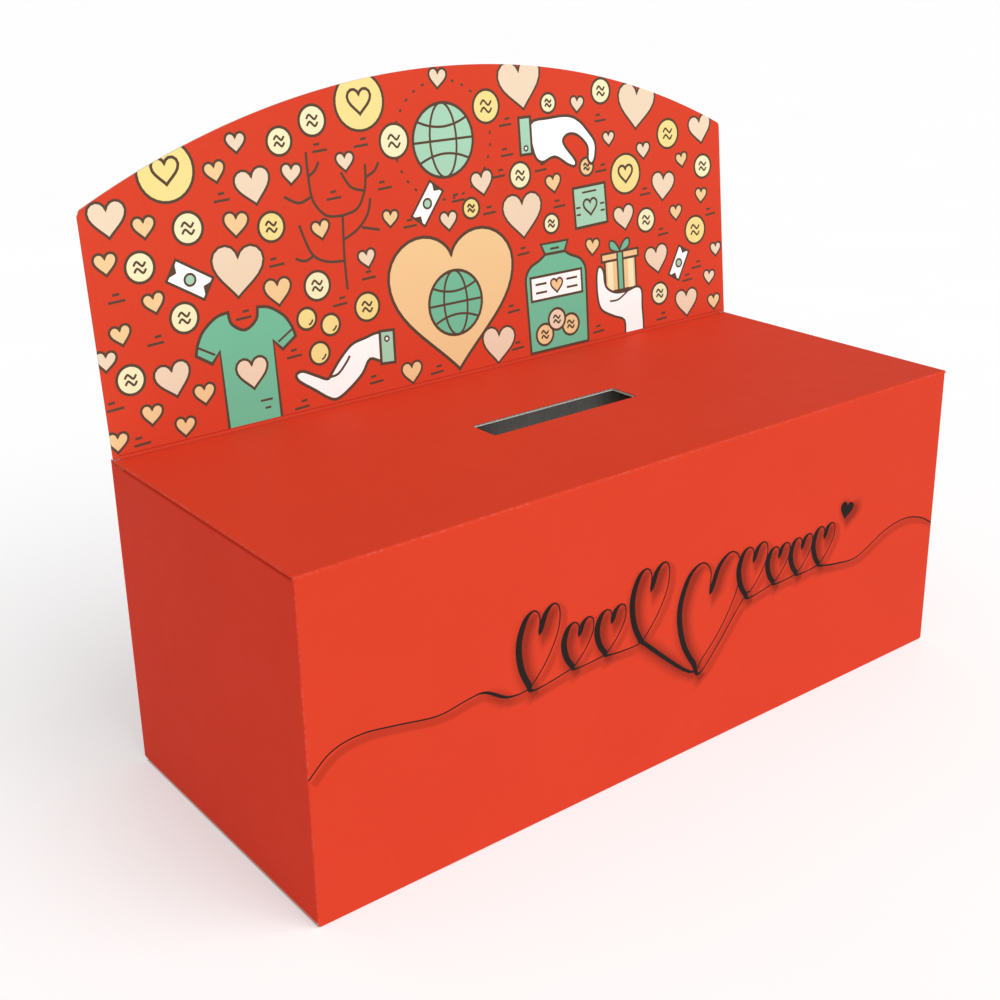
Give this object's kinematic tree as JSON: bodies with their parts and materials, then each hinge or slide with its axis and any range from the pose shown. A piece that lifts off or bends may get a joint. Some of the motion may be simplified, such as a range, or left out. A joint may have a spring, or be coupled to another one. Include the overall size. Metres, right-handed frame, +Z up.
{
  "type": "donation box",
  "caption": "Countertop cardboard donation box with a coin slot in its hinged tuck-in lid and an arched printed header card standing behind it.",
  "frame": {"origin": "middle of the carton's base, on its underside", "axes": "+X along the width, to the right as seen from the front; +Y from the front panel towards the header card; +Z up"},
  "size_m": [0.305, 0.1353, 0.2445],
  "materials": {
    "printed_board": "satin",
    "header_board": "matte",
    "header_print": "satin",
    "dried_glue": "matte"
  },
  "bodies": {
    "carton": {"front_panel": "printed_board", "back_panel": "printed_board", "left_panel": "printed_board", "right_panel": "printed_board", "seam_glue_flap": "printed_board", "seam_glue_strip": "dried_glue", "base_front_flap": "printed_board", "base_back_flap": "printed_board", "base_left_flap": "printed_board", "base_right_flap": "printed_board", "base_glue_strips": "dried_glue"},
    "lid": {"lid_panel": "printed_board"},
    "tuck_flap": {"lid_tuck_flap": "printed_board"},
    "left_dust_flap": {"left_dust_flap": "printed_board"},
    "right_dust_flap": {"right_dust_flap": "printed_board"},
    "header_insert": {"header_insert_tongue": "header_board"},
    "header_display": {"header_panel": "header_board", "header_artwork_sheet": "header_print"}
  },
  "joints": [
    {"name": "lid_hinge", "type": "hinge", "parent": "carton", "child": "lid", "pos_m": [0, -0.063, 0.122], "axis": [1, 0, 0], "range_deg": [0, 175]},
    {"name": "tuck_flap_crease", "type": "hinge", "parent": "lid", "child": "tuck_flap", "pos_m": [0, 0.06025, 0.122], "axis": [1, 0, 0], "range_deg": [0, 63]},
    {"name": "left_dust_flap_crease", "type": "hinge", "parent": "carton", "child": "left_dust_flap", "pos_m": [-0.1515, 0, 0.1197], "axis": [0, 1, 0], "range_deg": [0, 80]},
    {"name": "right_dust_flap_crease", "type": "hinge", "parent": "carton", "child": "right_dust_flap", "pos_m": [0.1515, 0, 0.1197], "axis": [0, -1, 0], "range_deg": [0, 80]},
    {"name": "header_lift", "type": "slide", "parent": "carton", "child": "header_insert", "axis": [0, 0, 1], "range_m": [0, 0.065]},
    {"name": "header_tilt", "type": "hinge", "parent": "header_insert", "child": "header_display", "pos_m": [0, 0.0612, 0.12295], "axis": [1, 0, 0], "range_deg": [-85, 94]}
  ],
  "couplings": [
    {"joint": "tuck_flap_crease", "follows": "lid_hinge", "ratio": 0.35}
  ]
}
